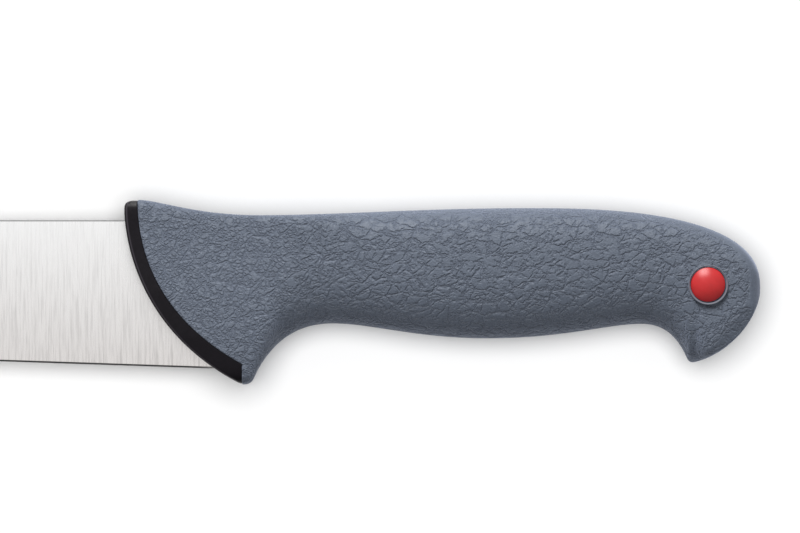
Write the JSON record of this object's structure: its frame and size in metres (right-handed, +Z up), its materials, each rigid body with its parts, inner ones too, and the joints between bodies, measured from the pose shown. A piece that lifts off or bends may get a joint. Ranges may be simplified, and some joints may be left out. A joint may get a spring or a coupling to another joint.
{
  "type": "butcher knife",
  "caption": "Butcher knife with a flat-ground steel blade, a black collar, a hooked grey moulded grip and pull-out red colour plugs in the butt.",
  "frame": {"origin": "middle of the underside of the bounding box of the knife lying on its side", "axes": "+X from the blade's tip to the butt, +Y from the edge to the spine, +Z up out of the side that shows"},
  "size_m": [0.345, 0.0418, 0.021],
  "materials": {
    "blade": "satin, brushed across the blade",
    "core": "smooth semi-gloss polypropylene",
    "grip": "leather-grained polypropylene",
    "plug": "gloss moulded"
  },
  "bodies": {
    "knife": {"blade": "blade", "handle_core": "core", "grip": "grip"},
    "plug_front": {"colour_plug_front": "plug"},
    "plug_back": {"colour_plug_back": "plug"}
  },
  "joints": [
    {"name": "plug_front_pull", "type": "slide", "parent": "knife", "child": "plug_front", "axis": [0, 0, 1], "range_m": [0, 0.012]},
    {"name": "plug_back_pull", "type": "slide", "parent": "knife", "child": "plug_back", "axis": [0, 0, -1], "range_m": [0, 0.012]}
  ]
}
